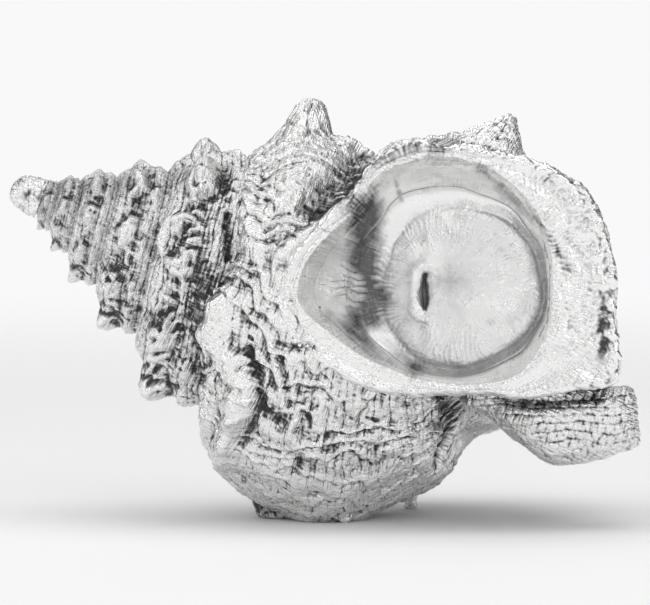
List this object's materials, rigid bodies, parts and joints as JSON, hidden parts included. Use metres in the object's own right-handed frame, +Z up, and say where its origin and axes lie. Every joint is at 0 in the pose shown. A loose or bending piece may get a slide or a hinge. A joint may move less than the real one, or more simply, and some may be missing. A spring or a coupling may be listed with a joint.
{
  "type": "seashell ornament",
  "caption": "Silver-coloured cast frog shell ornament that lies on its side, with its aperture facing forward.",
  "frame": {"origin": "centre of the footprint box on the surface that the shell lies on", "axes": "+X along the shell's length towards the siphonal canal, +Z up, -Y towards the side with the aperture"},
  "size_m": [0.1916, 0.0998, 0.1235],
  "materials": {
    "silver_outside": "satin",
    "silver_lip": "polished",
    "silver_inside": "satin"
  },
  "bodies": {
    "root": {"apex_protoconch": "silver_outside", "spire_whorl_1": "silver_outside", "spire_whorl_2": "silver_outside", "spire_whorl_3": "silver_outside", "spire_whorl_4": "silver_outside", "penultimate_whorl": "silver_outside", "body_whorl_parietal": "silver_outside", "body_whorl_front": "silver_outside", "body_whorl_underside": "silver_outside", "body_whorl_back": "silver_outside", "columella": "silver_inside", "aperture_lining": "silver_inside", "parietal_callus": "silver_lip", "inner_lip": "silver_lip", "outer_lip": "silver_lip", "anal_canal": "silver_lip", "siphonal_canal": "silver_outside", "shoulder_knobs_body": "silver_outside", "shoulder_knobs_penultimate": "silver_outside", "shoulder_knobs_whorl_4": "silver_outside", "shoulder_knobs_whorl_3": "silver_outside", "horn": "silver_outside", "lip_spike": "silver_outside", "basal_nub": "silver_outside", "belly_nub": "silver_outside", "rear_nub": "silver_outside"}
  },
  "joints": []
}
